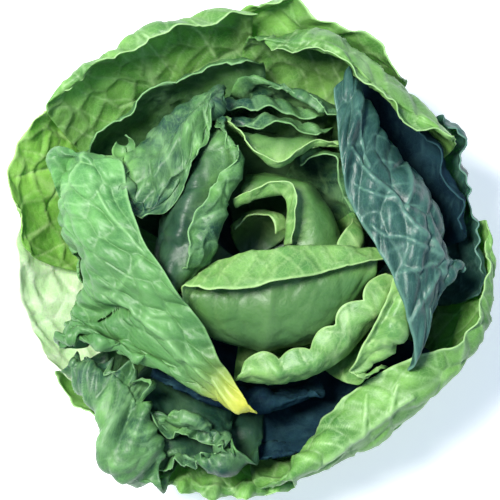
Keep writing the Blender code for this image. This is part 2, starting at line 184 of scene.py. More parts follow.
# %% The leaves
# From the heart outwards
LEAVES = (
    Leaf("heart_tongue_leaf", (48, 132), (28, 84),
         ((42, 14, 80), (64, 20, 84), (95, 19, 84), (120, 13, 80))),
    Leaf("heart_left_leaf", (146, 240), (44, 92), ((140, 22, 84), (190, 22, 86), (235, 20, 80))),
    Leaf("heart_rib_leaf", (5, 98), (50, 104),
         ((4, 17, 91), (34, 22, 95), (58, 28, 97), (82, 23, 96), (106, 21, 93)), (140,), 5, (4, 7, 6, 3)),
    Leaf("heart_right_leaf", (-45, 30), (52, 92), ((-20, 36, 80), (4, 33, 86), (18, 46, 84))),
    Leaf("heart_band_leaf", (200, 340), (56, 108),
         ((216, 34, 86), (210, 20, 91), (270, 3, 96), (359, 24, 97), (359, 56, 91)), (165,), 7,
         (6, 17, 16, 10, 5)),
    Leaf("far_lobe_leaf", (12, 72), (64, 100),
         ((23, 48, 90), (34, 48, 93), (50, 53, 95), (60, 44, 93))),
    Leaf("far_scroll_leaf", (52, 110), (66, 110),
         ((49, 57, 95), (61, 49, 98), (70, 38, 101), (90, 43, 101), (98, 56, 96)), (50, 140, 90, 30), 6,
         (0, 4, 3, 0)),
    Leaf("scalloped_leaf", (258, 350), (70, 98),
         ((269, 44, 84), (298, 46, 88), (318, 43, 91), (337, 46, 92), (350, 51, 90))),
    Leaf("curled_leaf", (302, 356), (80, 100),
         ((322, 78, 80), (309, 70, 84), (328, 55, 89), (348, 57, 92))),
    Leaf("left_lobe_leaf", (105, 215), (62, 112),
         ((107, 58, 94), (98, 38, 100), (135, 19, 100), (180, 16, 96), (210, 30, 88)), (120, 172), 12,
         (0, 0, 5, 12, 2)),
    Leaf("far_nested_leaf", (58, 118), (74, 104), ((60, 58, 92), (80, 54, 95), (100, 60, 91))),
    Leaf("far_inner_band_leaf", (62, 122), (82, 104), ((64, 66, 92), (82, 62, 95), (106, 68, 92))),
    Leaf("far_curl_leaf", (48, 104), (88, 104),
         ((55, 74, 92), (62, 65, 96), (70, 68, 97), (80, 76, 93)), (40,), 6),
    Leaf("left_ruffled_leaf", (100, 160), (92, 108),
         ((100, 62, 98), (112, 48, 101), (131, 40, 103), (152, 39, 102), (165, 46, 99), (152, 60, 96),
          (137, 74, 91)), (40, 20, 20, 30, 60), 6),
    Leaf("inner_near_leaf", (225, 300), (82, 84), ((232, 62, 60), (262, 58, 62), (292, 60, 60))),
    Leaf("right_blade", (-6, 62), (106, 112),
         ((-2, 90, 80), (-16, 80, 83), (-37, 85, 82), (-25, 65, 90), (-10, 54, 96), (12, 47, 101),
          (40, 49, 102), (62, 73, 95))),
    Leaf("near_fold_leaf", (222, 262), (92, 84),
         ((238, 88, 62), (250, 76, 70), (262, 84, 66)), (150,), 6, (2, 6, 2)),
    Leaf("near_long_fold_leaf", (234, 274), (102, 80),
         ((240, 100, 54), (252, 90, 62), (266, 78, 68)), (150,), 6, (2, 6, 2)),
    Leaf("left_blade", (148, 206), (116, 112),
         ((166, 86, 78), (151, 78, 90), (146, 64, 97), (156, 54, 100), (180, 43, 101), (206, 37, 102),
          (234, 38, 100), (262, 58, 93), (274, 74, 84), (258, 64, 82), (238, 58, 82), (218, 62, 80),
          (202, 84, 70))),
    Leaf("far_inner_wall_leaf", (85, 150), (100, 92), ((90, 86, 84), (115, 90, 84), (142, 88, 80))),
    Leaf("right_inner_wall_leaf", (5, 60), (112, 92), ((8, 98, 78), (30, 96, 80), (55, 94, 82))),
    Leaf("near_dark_wall_leaf", (268, 335), (100, 78), ((272, 80, 50), (300, 86, 50), (330, 92, 54))),
    Leaf("far_right_band", (28, 94), (116, 106),
         ((30, 98, 86), (42, 86, 91), (56, 81, 93), (68, 85, 93), (84, 91, 91)), (30, 60, 20), 8),
    Leaf("low_left_leaf", (210, 250), (112, 84),
         ((210, 90, 62), (220, 80, 71), (232, 76, 73), (246, 88, 62)), (60, 110, 60), 6),
    Leaf("far_right_shoulder", (22, 76), (104, 82),
         ((26, 96, 62), (34, 99, 65), (52, 95, 67), (72, 92, 66))),
    Leaf("right_dark_leaf", (-12, 40), (116, 82), ((-2, 107, 68), (12, 105, 72), (32, 101, 74))),
    Leaf("near_right_wrapper", (268, 372), (124, 90),
         ((287, 91, 58), (293, 82, 66), (310, 76, 74), (326, 83, 80), (337, 99, 80), (350, 106, 78),
          (364, 107, 72))),
    Leaf("near_frill_leaf", (236, 286), (108, 60),
         ((240, 100, 42), (254, 104, 44), (268, 103, 46), (284, 94, 52)), (70,), 8),
    Leaf("far_left_wrapper", (90, 146), (130, 102),
         ((88, 111, 84), (102, 107, 88), (120, 107, 86), (138, 114, 78))),
    Leaf("far_open_leaf", (48, 98), (112, 72),
         ((50, 106, 82), (57, 112, 84), (72, 111, 84), (86, 106, 82))),
    Leaf("far_left_open_leaf", (138, 180), (112, 62),
         ((140, 112, 72), (152, 118, 70), (163, 116, 66), (170, 107, 60))),
    Leaf("left_base_leaf", (164, 214), (108, 48),
         ((166, 111, 52), (177, 110, 50), (190, 107, 46), (208, 99, 42))),
    Leaf("low_near_leaf", (208, 262), (104, 40),
         ((208, 99, 42), (226, 99, 38), (243, 101, 36), (254, 104, 34))),
    Leaf("low_right_leaf", (300, 362), (106, 44), ((302, 99, 36), (330, 103, 40), (358, 105, 42))),
    Leaf("low_far_leaf", (60, 126), (108, 46), ((64, 106, 46), (92, 106, 48), (122, 106, 46))),
    Leaf("low_far_right_leaf", (2, 56), (106, 42), ((8, 105, 42), (30, 105, 44), (52, 105, 44))),
)


# %% From the plan to metres
def across():
    """Metres for each millimetre of the plan, sideways."""
    return HEAD_WIDTH / DRAWN_WIDTH


def drawn(point):
    """A point of the leaf plan in metres, on a head of the driving size."""
    x, y, z = point
    return np.array((x * across(), y * across(), z * HEAD_HEIGHT / DRAWN_HEIGHT))


def polar(azimuth, reach, height):
    """A point of the leaf plan from its azimuth in degrees, its reach and its height."""
    turn = math.radians(azimuth)
    return drawn((reach * math.cos(turn), reach * math.sin(turn), height))


def through(points, steps):
    """Places at `steps` (0 to 1) along a smooth curve through the points."""
    points = np.asarray(points, float).reshape(len(points), -1)
    if len(points) == 1:
        return np.repeat(points, len(steps), axis=0)
    lengths = np.linalg.norm(np.diff(points, axis=0), axis=1)
    if points.shape[1] == 1:
        knots = np.linspace(0.0, 1.0, len(points))
    else:
        knots = np.concatenate(([0.0], np.cumsum(lengths))) / lengths.sum()
    slopes = np.gradient(points, knots, axis=0) if len(points) > 2 else np.diff(points, axis=0).repeat(2, 0)
    span = np.clip(np.searchsorted(knots, steps, side="right") - 1, 0, len(points) - 2)
    width = (knots[span + 1] - knots[span])[:, None]
    t = ((steps - knots[span]) / width[:, 0])[:, None]
    return (
        points[span] * (1 + 2 * t) * (1 - t) ** 2
        + slopes[span] * width * t * (1 - t) ** 2
        + points[span + 1] * t * t * (3 - 2 * t)
        + slopes[span + 1] * width * t * t * (t - 1)
    )


def stem_radius(height):
    """The stem's radius at a height above the cut."""
    share = min(max(height / STEM_HEIGHT, 0.0), 1.0)
    return STEM_RADIUS + (STEM_TIP_RADIUS - STEM_RADIUS) * share


def wall_point(azimuth, radius, height):
    """A point on a leaf's wall, round the leaning heart."""
    lean = max(0.0, 1.0 - radius / HEART_LEAN_FADE) * min(1.0, height / DRAWN_HEIGHT)
    return drawn((
        radius * math.cos(azimuth) + HEART_LEAN[0] * lean,
        radius * math.sin(azimuth) + HEART_LEAN[1] * lean,
        height,
    ))


def foot_heights():
    """Each leaf's foot height: feet that would overlap take even steps down the stem."""
    placed = []
    for leaf in LEAVES:
        middle = sum(leaf.sector) / 2
        step = 0
        for other_middle, other_step in placed:
            apart = abs((middle - other_middle + 180) % 360 - 180)
            if apart < FOOT_CLASP + FOOT_MARGIN:
                step = max(step, other_step + 1)
        placed.append((middle, step))
    top = STEM_HEIGHT - TOP_FOOT_BELOW_TIP
    spacing = (top - LOWEST_FOOT) / max(step for _, step in placed)
    return [top - step * spacing for _, step in placed]


def nest_centre():
    """The point that the leaves are fitted outwards from."""
    x, y = NEST_CENTRE_ASIDE
    return np.array((x * across(), y * across(), STEM_HEIGHT - NEST_CENTRE_BELOW_TIP))


def clearance(share):
    """The least distance between the middles of two blades, at a share of the way up from the foot."""
    opened = min(1.0, share / LEAF_OPENS_AT)
    return BLADE_THICKNESS + FOOT_LEAF_GAP + (LEAF_GAP - FOOT_LEAF_GAP) * opened


# %% One leaf as a net of points
def columns_of(leaf):
    """How many lines of points run up a leaf."""
    rim = np.array([polar(*station) for station in leaf.rim]) / across()
    length = np.linalg.norm(np.diff(rim, axis=0), axis=1).sum()
    return int(min(max(round(length / RIM_STEP) + 2, FEWEST_COLUMNS), MOST_COLUMNS))


def meridian(foot, low, high, rim, roll, roll_width, flap):
    """Points up one line of a leaf, from its foot to its rim, where it may fold over."""
    t = np.linspace(0.0, 1.0, PATH_STEPS)[:, None]
    path = (
        foot * (1 - t) ** 3 + low * 3 * t * (1 - t) ** 2 + high * 3 * t * t * (1 - t) + rim * t**3
    )
    steps = np.linalg.norm(np.diff(path, axis=0), axis=1)
    along = np.concatenate(([0.0], np.cumsum(steps)))
    crowded = np.linspace(0.0, 1.0, WALL_ROWS) ** ROW_CROWDING
    if roll_width <= 0:
        wanted = crowded * along[-1]
        return np.stack([np.interp(wanted, along, path[:, k]) for k in range(3)], axis=1)
    reach = roll_width / max(roll, LEAST_ROLL)
    start = along[-1] - reach * math.sin(min(roll, math.pi / 2))
    wanted = crowded * start
    body = np.stack([np.interp(wanted, along, path[:, k]) for k in range(3)], axis=1)
    ahead = body[-1] - np.array([np.interp(start - ROLL_LEAD, along, path[:, k]) for k in range(3)])
    ahead /= np.linalg.norm(ahead)
    outward = body[-1] - nest_centre()
    outward -= ahead * (outward @ ahead)
    outward /= np.linalg.norm(outward)
    turn = np.linspace(0.0, roll, ROLL_ROWS + 1)[1:, None]
    lip = body[-1] + reach * (np.sin(turn) * ahead + (1 - np.cos(turn)) * outward)
    if flap is None:
        return np.concatenate((body, lip))
    steps = np.linspace(0.0, flap, FLAP_ROWS + 1)[1:, None]
    back = lip[-1] + steps * (math.cos(roll) * ahead + math.sin(roll) * outward)
    return np.concatenate((body, lip, back))


def leaf_net(leaf, height):
    """The leaf's points before it is fitted over the others: rows from foot to rim, by columns."""
    u = np.linspace(0.0, 1.0, columns_of(leaf))
    rim = through([polar(*station) for station in leaf.rim], u)
    rolls = np.radians(through([[a] for a in leaf.roll], u)[:, 0])
    start, end = (math.radians(a) for a in leaf.sector)
    radius, high = leaf.wall
    flaps = [None] * len(u)
    if leaf.flap:
        flaps = through([[length] for length in leaf.flap], u)[:, 0] * across()
    low = (height - FOOT_DIP) * DRAWN_HEIGHT / HEAD_HEIGHT
    reach = stem_radius(height) + STEM_GAP + BLADE_THICKNESS / 2
    lines = []
    for i, share in enumerate(u):
        azimuth = start + (end - start) * share
        clasp = (start + end) / 2 + math.radians(FOOT_CLASP) * (share - 0.5)
        foot = np.array((reach * math.cos(clasp), reach * math.sin(clasp), height))
        under = wall_point(azimuth, radius * BELLY_SHARE, low)
        over = wall_point(azimuth, radius, high)
        width = leaf.roll_width * across()
        lines.append(meridian(foot, under, over, rim[i], rolls[i], width, flaps[i]))
    return np.stack(lines, axis=1)


# %% Fitting a leaf over the others
def quads(rows, columns):
    """Corner numbers of the faces of a net."""
    return [
        (r * columns + c, r * columns + c + 1, (r + 1) * columns + c + 1, (r + 1) * columns + c)
        for r in range(rows - 1)
        for c in range(columns - 1)
    ]


def refined(net):
    """The net with a point added in the middle of every edge and face."""
    rows = np.empty((net.shape[0] * 2 - 1, *net.shape[1:]))
    rows[::2] = net
    rows[1::2] = (net[1:] + net[:-1]) / 2
    both = np.empty((rows.shape[0], net.shape[1] * 2 - 1, *net.shape[2:]))
    both[:, ::2] = rows
    both[:, 1::2] = (rows[:, 1:] + rows[:, :-1]) / 2
    return both


def softened(push):
    """The push eased outwards, so that a leaf bends over its neighbour and doesn't step."""
    for _ in range(SOFTEN_TURNS):
        padded = np.pad(push, 1, mode="edge")
        mean = (
            padded[:-2, 1:-1] + padded[2:, 1:-1] + padded[1:-1, :-2] + padded[1:-1, 2:]
        ) / 4
        push = np.maximum(push, mean * SOFTEN_SHARE)
    return push


def clear_of_stem_and_floor(net):
    """The net with no point inside the stem or under the surface that the head stands on."""
    net = net.copy()
    net[1:, :, 2] = np.maximum(net[1:, :, 2], FLOOR_GAP + BLADE_THICKNESS)
    for point in net[1:].reshape(-1, 3):
        reach = math.hypot(point[0], point[1])
        least = stem_radius(point[2]) + STEM_GAP + BLADE_THICKNESS
        if point[2] < STEM_HEIGHT and reach < least:
            point[:2] *= least / max(reach, STEM_GAP)
    return net


def need_from_inside(net, laid, centre):
    """The push that each point of the net needs to stand outside the leaves already laid."""
    fine = refined(refined(net))
    need = np.zeros(net.shape[:2])
    far = HEAD_WIDTH
    for r in range(1, fine.shape[0]):
        apart = clearance(r / (fine.shape[0] - 1))
        for c in range(fine.shape[1]):
            ray = Vector(fine[r, c]) - centre
            distance = ray.length
            ray.normalize()
            hit = laid.ray_cast(centre + ray * far, -ray, far)[3]
            if hit is None or far - hit + apart <= distance:
                continue
            push = far - hit + apart - distance
            rows = slice(r // REFINE, -(-r // REFINE) + 1)
            columns = slice(c // REFINE, -(-c // REFINE) + 1)
            need[rows, columns] = np.maximum(need[rows, columns], push)
    return need


def need_from_outside(net, laid_points, centre):
    """The same push, asked by each point already laid that the net would cross or come near.

    The faces at the foot are left out: the foot stays on the stem, so no push could clear them.
    """
    faces = quads(*net.shape[:2])
    at_foot = net.shape[1] - 1
    apart = [clearance(face // at_foot / (net.shape[0] - 1)) for face in range(len(faces))]
    tree = BVHTree.FromPolygons([Vector(p) for p in net.reshape(-1, 3)], faces)
    need = np.zeros(net.shape[:2])
    flat = need.reshape(-1)
    for point in laid_points:
        ray = point - centre
        distance = ray.length
        hit, _, face, reach = tree.ray_cast(centre, ray.normalized(), distance + clearance(1.0))
        if hit is None or face < at_foot:
            continue
        corners = list(faces[face])
        flat[corners] = np.maximum(flat[corners], distance + apart[face] - reach)
    return need


def nested(net, laid, laid_points):
    """The net moved outwards until it clears every leaf already laid."""
    centre = Vector(nest_centre())
    for _ in range(NEST_TURNS):
        need = need_from_inside(net, laid, centre)
        need = np.maximum(need, need_from_outside(net, laid_points, centre))
        need[0] = 0.0
        if need.max() < NEST_ENOUGH:
            break
        push = softened(need)
        push[0] = 0.0
        rays = net - np.array(centre)
        net = net + rays / np.linalg.norm(rays, axis=2, keepdims=True) * push[:, :, None]
        net = clear_of_stem_and_floor(net)
    return net


def lay_leaves():
    """Every leaf's net, each fitted over the leaves inside it."""
    points, faces, samples, nets = [], [], [], {}
    for leaf, height in zip(LEAVES, foot_heights()):
        net = leaf_net(leaf, height)
        if faces:
            net = nested(net, BVHTree.FromPolygons(points, faces), samples)
        first = len(points)
        points += [Vector(p) for p in net.reshape(-1, 3)]
        faces += [tuple(first + n for n in face) for face in quads(*net.shape[:2])]
        samples += [Vector(p) for p in refined(net)[2:].reshape(-1, 3)]
        nets[leaf.name] = net
    return nets


def finish_of(leaf_name):
    """The name of a leaf's finish."""
    groups = {"heart_leaf": HEART, "inner_leaf": INNER, "bright_leaf": BRIGHT, "blue_green_leaf": BLUE_GREEN}
    for finish, names in groups.items():
        if leaf_name in names:
            return finish
    return "outer_leaf"

# %% [markdown]
# ## Laying the leaves
# The nets are laid once, and each is compared with the box of its plain solid.

# %% Lay them
nets = lay_leaves()
worst = 0.0
for name, net in nets.items():
    low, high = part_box(name)
    gap = max(
        float(np.abs(net.reshape(-1, 3).min(axis=0) - np.array(low)).max()),
        float(np.abs(net.reshape(-1, 3).max(axis=0) - np.array(high)).max()),
    )
    worst = max(worst, gap)
print(len(nets), "leaves laid; no net is further than", round(worst * 1000, 2), "mm from its solid")

# %% [markdown]
# ## A smooth field of noise
# Nothing that grew is regular. A leaf's bumps, folds and edge all need numbers that wander smoothly.
# They could come from a texture, but then only the shading would change. These are worked out for
# every point of a leaf, so that they can move it, and their seeds make each run the same.

# %% Noise and cells
TABLE = 64


def seeded(seed, count=1):
    """A square table of numbers from 0 to 1 for each count."""
    return np.random.default_rng(seed).random((count, TABLE, TABLE))


def wander(x, y, size, seed):
    """Smooth noise from -1 to 1, with features of that size."""
    table = seeded(seed)[0]
    x, y = x / size, y / size
    column, row = np.floor(x).astype(int), np.floor(y).astype(int)
    fx, fy = x - column, y - row
    fx, fy = fx * fx * (3 - 2 * fx), fy * fy * (3 - 2 * fy)

    def corner(right, up):
        return table[(row + up) % TABLE, (column + right) % TABLE]

    near = corner(0, 0) * (1 - fx) + corner(1, 0) * fx
    away = corner(0, 1) * (1 - fx) + corner(1, 1) * fx
    return (near * (1 - fy) + away * fy) * 2 - 1


def cells(x, y, size, seed):
    """How far each point is from the border of its cell: 0 on the border, near 1 in the middle."""
    shift = seeded(seed, 2)
    x, y = x / size, y / size
    column, row = np.floor(x).astype(int), np.floor(y).astype(int)
    nearest = np.full(x.shape, 9.0)
    second = np.full(x.shape, 9.0)
    for right in (-1, 0, 1):
        for up in (-1, 0, 1):
            c, r = column + right, row + up
            away = np.hypot(
                c + shift[0][r % TABLE, c % TABLE] - x, r + shift[1][r % TABLE, c % TABLE] - y
            )
            second = np.minimum(second, np.maximum(nearest, away))
            nearest = np.minimum(nearest, away)
    return np.clip(second - nearest, 0.0, 1.0)


# %% [markdown]
# ## The character of each kind of leaf
# Heart leaves are pale, smooth and tight. Inner leaves are dark and pleated. The outer ones are
# thin, blistered and ruffled. One record of numbers for each kind keeps the leaves of a head alike.

# %% Characters
class Stroke(NamedTuple):
    """A vein, or a crease if its height is below 0, straight in plan. Degrees and millimetres."""

    start: tuple  # azimuth and reach
    end: tuple
    half_width: float
    height: float


class Character(NamedTuple):
    """How a leaf's surface looks. Lengths are millimetres."""

    blister: float = 1.8  # height of the bulges between veins
    blister_size: float = 11.0
    crumple: float = 2.5  # height of the large soft folds
    crumple_size: float = 34.0
    ruffle: float = 1.8  # how far the edge waves in and out
    ruffle_length: float = 36.0
    rib: float = 2.4  # height of the midrib
    vein: float = 0.7  # height of the side veins
    vein_step: float = 17.0
    notch: float = 0.9  # how unevenly the edge is cut
    lobes: int = 0  # round lobes along the edge
    fineness: float = 1.4  # distance between points
    strokes: tuple = ()  # main veins and creases that this leaf alone has
    tears: tuple = ()  # holes, as strokes
    tip: float = -1.0  # where along the edge the leaf has yellowed


HEART_LOOK = Character(blister=0.8, crumple=1.6, ruffle=1.0, vein=0.4, vein_step=14.0, notch=0.5)
INNER_LOOK = Character(crumple=3.5, ruffle=2.2, ruffle_length=30.0)
OUTER_LOOK = Character(blister=1.5, blister_size=14.0, crumple=3.0)
HIDDEN_LOOK = Character(crumple=3.0, fineness=2.6)

# %% Veins, folds and holes of single leaves
BAND_VEINS = (
    Stroke((-66, 22), (-84, 48), 1.0, 0.8),
    Stroke((-34, 34), (-68, 50), 1.0, 0.8),
    Stroke((242, 26), (262, 46), 1.0, 0.8),
)
CURL_FOLDS = (
    Stroke((-42, 68), (-20, 68), 2.2, -3.0),
    Stroke((-28, 60), (-34, 76), 1.6, -2.0),
)
LEFT_BLADE_FOLDS = (
    Stroke((200, 64), (267, 68), 1.6, 2.0),  # the midrib
    Stroke((180, 82), (191, 80), 4.0, -11.0),  # a deep hole
    Stroke((200, 80), (208, 62), 3.0, -7.0),
    Stroke((205, 88), (214, 72), 3.2, -8.0),
    Stroke((186, 68), (196, 62), 4.5, 3.5),
    Stroke((212, 95), (222, 72), 4.0, 4.0),
    Stroke((160, 72), (186, 46), 1.2, 0.7),
    Stroke((200, 64), (186, 46), 1.0, 0.7),
    Stroke((214, 55), (226, 44), 1.0, 0.7),
    Stroke((236, 58), (250, 52), 1.0, 0.7),
    Stroke((150, 86), (168, 88), 1.0, 0.6),
)
LEFT_BLADE_TEARS = (
    Stroke((181, 81), (191, 79), 3.4, 0.0),
    Stroke((204, 74), (206, 64), 1.3, 0.0),
    Stroke((209, 86), (213, 76), 1.3, 0.0),
)
RIGHT_BLADE_VEINS = (
    Stroke((-4, 88), (44, 60), 1.3, 1.4),  # the midrib
    Stroke((-4, 88), (-30, 76), 1.2, 1.2),
    Stroke((-2, 84), (10, 54), 1.0, 1.0),
    Stroke((-4, 84), (-14, 60), 1.0, 1.0),
    Stroke((14, 72), (30, 52), 0.9, 0.9),
    Stroke((14, 72), (34, 82), 0.9, 0.9),
    Stroke((34, 63), (52, 74), 0.8, 0.8),
)
WRAPPER_VEINS = (
    Stroke((-72, 98), (-40, 96), 1.2, 1.3),
    Stroke((-58, 94), (-52, 82), 0.9, 0.8),
    Stroke((-50, 94), (-40, 88), 0.9, 0.8),
)
OPEN_VEINS = (
    Stroke((136, 92), (160, 114), 1.0, 1.4),
    Stroke((144, 98), (146, 116), 0.8, 1.0),
    Stroke((150, 104), (154, 116), 0.7, 0.9),
    Stroke((148, 102), (164, 100), 0.7, 0.9),
)
FAR_WRAPPER_VEINS = (
    Stroke((90, 104), (128, 98), 1.2, 1.2),
    Stroke((100, 101), (104, 112), 0.9, 0.8),
    Stroke((112, 99), (116, 112), 0.9, 0.8),
)
LOBE_FOLDS = (
    Stroke((112, 48), (168, 30), 4.5, 4.0),
    Stroke((118, 60), (186, 42), 3.5, -4.0),
    Stroke((150, 24), (200, 30), 3.0, 2.5),
)
RUFFLED_FOLDS = (
    Stroke((106, 66), (146, 52), 4.0, 4.5),
    Stroke((108, 72), (136, 62), 3.5, -4.0),
    Stroke((104, 54), (136, 42), 3.0, 3.0),
)

# %% The leaves that have a character of their own
LOOKS = {
    "scalloped_leaf": HEART_LOOK._replace(lobes=5, notch=0.4, ruffle=0.8),
    "curled_leaf": HEART_LOOK._replace(
        blister=2.4, blister_size=14.0, crumple=5.0, crumple_size=18.0, strokes=CURL_FOLDS),
    "heart_band_leaf": HEART_LOOK._replace(vein=0.0, fineness=1.1, strokes=BAND_VEINS),
    "left_lobe_leaf": INNER_LOOK._replace(
        crumple_size=26.0, blister=1.6, fineness=1.1, strokes=LOBE_FOLDS),
    "left_ruffled_leaf": INNER_LOOK._replace(
        ruffle=2.8, ruffle_length=26.0, crumple=7.0, crumple_size=24.0, fineness=1.1,
        strokes=RUFFLED_FOLDS),
    "near_fold_leaf": INNER_LOOK._replace(crumple=7.0, crumple_size=16.0, ruffle=7.0, ruffle_length=15.0),
    "near_long_fold_leaf": INNER_LOOK._replace(
        crumple=7.0, crumple_size=17.0, ruffle=7.0, ruffle_length=16.0),
    "left_blade": OUTER_LOOK._replace(
        crumple=6.0, blister=1.9, blister_size=15.0, ruffle=1.4, vein=0.0, fineness=1.05,
        strokes=LEFT_BLADE_FOLDS, tears=LEFT_BLADE_TEARS, tip=0.6),
    "right_blade": OUTER_LOOK._replace(
        blister=2.4, blister_size=18.0, vein=0.0, rib=0.0, ruffle=1.2, fineness=1.0,
        strokes=RIGHT_BLADE_VEINS),
    "low_left_leaf": INNER_LOOK._replace(
        crumple=9.0, crumple_size=20.0, ruffle=5.0, ruffle_length=17.0, notch=1.6, fineness=1.1),
    "near_frill_leaf": OUTER_LOOK._replace(ruffle=5.0, ruffle_length=14.0, notch=2.0),
    "near_right_wrapper": OUTER_LOOK._replace(fineness=1.0, strokes=WRAPPER_VEINS),
    "far_left_wrapper": OUTER_LOOK._replace(fineness=1.1, strokes=FAR_WRAPPER_VEINS),
    "far_left_open_leaf": OUTER_LOOK._replace(fineness=1.1, strokes=OPEN_VEINS),
    "right_dark_leaf": OUTER_LOOK._replace(notch=3.0, ruffle=3.0, ruffle_length=22.0),
    "far_inner_wall_leaf": HIDDEN_LOOK,
    "right_inner_wall_leaf": HIDDEN_LOOK,
    "near_dark_wall_leaf": HIDDEN_LOOK,
}


def look_of(name):
    """The character of a leaf."""
    if name in LOOKS:
        return LOOKS[name]
    return {"heart_leaf": HEART_LOOK, "inner_leaf": INNER_LOOK}.get(finish_of(name), OUTER_LOOK)


print(len(LOOKS), "leaves have a character of their own, of", len(LEAVES))


# %% [markdown]
# ## From a coarse net to a fine one
# The plain solid has a few dozen facets. A subdivision modifier would round it, but would draw its
# edge in. A curve through the net's own points keeps every leaf on its solid.

# %% Refine a net
MILLIMETRE = 0.001


def between(values, count):
    """Rows of values read at even steps from a smooth curve through them."""
    last = len(values) - 1
    place = np.linspace(0.0, last, count)
    start = np.minimum(place.astype(int), last - 1)
    t = (place - start).reshape(-1, *[1] * (values.ndim - 1))
    padded = np.concatenate((2 * values[:1] - values[1:2], values, 2 * values[-1:] - values[-2:-1]))
    a, b, c, d = (padded[start + k] for k in range(4))
    return b + t / 2 * (c - a + t * (2 * a - 5 * b + 4 * c - d + t * (3 * (b - c) + d - a)))


def fine_net(net, spacing):
    """The net with its points that far apart."""
    up = np.linalg.norm(np.diff(net, axis=0), axis=2).sum(axis=0).max()
    side = np.linalg.norm(np.diff(net, axis=1), axis=2).sum(axis=1).max()
    rows = int(up / spacing) + 2
    columns = int(side / spacing) + 2
    return between(between(net, rows).swapaxes(0, 1), columns).swapaxes(0, 1)


def outward_normals(net):
    """The direction out of the head at each point of a net."""
    normal = np.cross(np.gradient(net, axis=1), np.gradient(net, axis=0))
    normal /= np.maximum(np.linalg.norm(normal, axis=2, keepdims=True), 1e-9)
    facing = (normal * (net - nest_centre())).sum()
    return normal if facing > 0 else -normal


# %% [markdown]
# ## Room to move
# Leaves that touch can't both bulge. Moving them apart afterwards would change the head, so each leaf
# looks out from its surface for the next one, and its bumps are held to half the room that it finds,
# less the blade.

# %% Room on each side
VISIBLE_BLADE = 0.0006
MOST_ROOM = 0.012
LEAST_ROOM = 0.0002


def room(net, normals, others):
    """How far each point may move outwards and inwards."""
    found = np.full((2, *net.shape[:2]), MOST_ROOM)
    for side, sign in enumerate((1.0, -1.0)):
        for r in range(net.shape[0]):
            for c in range(net.shape[1]):
                ray = Vector(normals[r, c] * sign)
                reach = others.ray_cast(Vector(net[r, c]), ray, MOST_ROOM * 2)[3]
                if reach is not None:
                    found[side, r, c] = max(reach / 2 - VISIBLE_BLADE, LEAST_ROOM)
    return found


def tree_without(name):
    """A search tree of every leaf but one."""
    points, faces = [], []
    for other, net in nets.items():
        if other == name:
            continue
        first = len(points)
        points += [Vector(p) for p in net.reshape(-1, 3)]
        faces += [tuple(first + n for n in face) for face in quads(*net.shape[:2])]
    return BVHTree.FromPolygons(points, faces)


# %% [markdown]
# ## The surface of a leaf
# On a real leaf the midrib is thick and pale at the foot. Side veins leave it at a slant and curve
# up towards the edge. The blade between veins grows faster than they do, so it bulges in blisters,
# and the edge grows fastest of all, so it waves. Each is a height over the flat leaf, in
# millimetres across from the midrib and up from the foot.

# %% Heights
RIB_HALF_WIDTH = 4.5
LEAST_RIB_HALF_WIDTH = 0.7
RIB_FADES = 0.75  # how much of the midrib is gone at the rim
VEIN_HALF_WIDTH = 0.9
VEIN_SLANT = 1.05
VEIN_CURVE = 0.004
VEIN_WANDER = 7.0
WIDEST_VEIN = 2.0  # a wider stroke is a fold, and hasn't a vein's colour
BULGE_POWER = 0.8  # below 1, a bulge is steeper where it meets its veins
BULGE_FLATTENS = 1.5  # above 1, the top of a bulge is broad
SMALL_BULGE_SIZE = 0.45  # as shares of the large bulge's
SMALL_BULGE_HEIGHT = 0.22
SMALL_FOLD_SIZE = 0.45
SMALL_FOLD_HEIGHT = 0.4
CELL_WARP = 2.5  # how far veins and bulges wander from even places
CELL_WARP_SIZE = 13.0
STROKE_WARP = 2.0
STROKE_WARP_SIZE = 16.0
NET_WIDTH = 0.07  # of the fine veins round a bulge, as a share of its cell
YELLOW_REACH = 17.0  # from the tip
LOBE_DEPTH = 4.5


# %% Veins and bulges
def flat_place(fine):
    """Where each point lies on the flat leaf: across from the midrib, and up from the foot."""
    side = np.linalg.norm(np.diff(fine, axis=1), axis=2)
    across_leaf = np.concatenate((np.zeros((len(fine), 1)), np.cumsum(side, axis=1)), axis=1)
    across_leaf -= across_leaf[:, -1:] / 2
    up = np.linalg.norm(np.diff(fine, axis=0), axis=2)
    up_leaf = np.concatenate((np.zeros((1, fine.shape[1])), np.cumsum(up, axis=0)))
    return across_leaf / MILLIMETRE, up_leaf / MILLIMETRE


def midrib(x, share):
    """1 along the middle of the leaf at its foot, falling to 0 at the sides and the rim."""
    half_width = RIB_HALF_WIDTH * (1.05 - share) + LEAST_RIB_HALF_WIDTH
    return np.exp(-((x / half_width) ** 2)) * (1.0 - RIB_FADES * share)


def vein_lines(x, y, step, seed):
    """1 on the side veins, falling to 0 beside them."""
    slope = np.abs(x) * VEIN_SLANT + VEIN_CURVE * x * x
    turn = (y - slope + VEIN_WANDER * wander(x, y, 26.0, seed) + step * 0.5 * (x > 0)) / step
    apart = np.abs(turn - np.round(turn)) * step
    strength = 0.65 + 0.35 * wander(x, y, 30.0, seed + 9)
    return np.exp(-((apart / VEIN_HALF_WIDTH) ** 2)) * strength


def blisters(cell, small, rib, look):
    """Bulges between the veins, with smaller ones on them."""
    domed = np.sin(np.clip(cell * BULGE_FLATTENS, 0, 1) * math.pi / 2)
    bulge = domed**BULGE_POWER * (1 - 0.8 * rib)
    small_height = SMALL_BULGE_HEIGHT * look.blister
    return look.blister * (bulge - 0.5) + small_height * (small**BULGE_POWER - 0.5)


# %% Folds, ruffles and strokes
def crumples(x, y, look, seed):
    """Large soft folds, with smaller ones on them."""
    large = look.crumple * wander(x, y, look.crumple_size, seed + 6)
    small_size = look.crumple_size * SMALL_FOLD_SIZE
    return large + look.crumple * SMALL_FOLD_HEIGHT * wander(x, y, small_size, seed + 7)


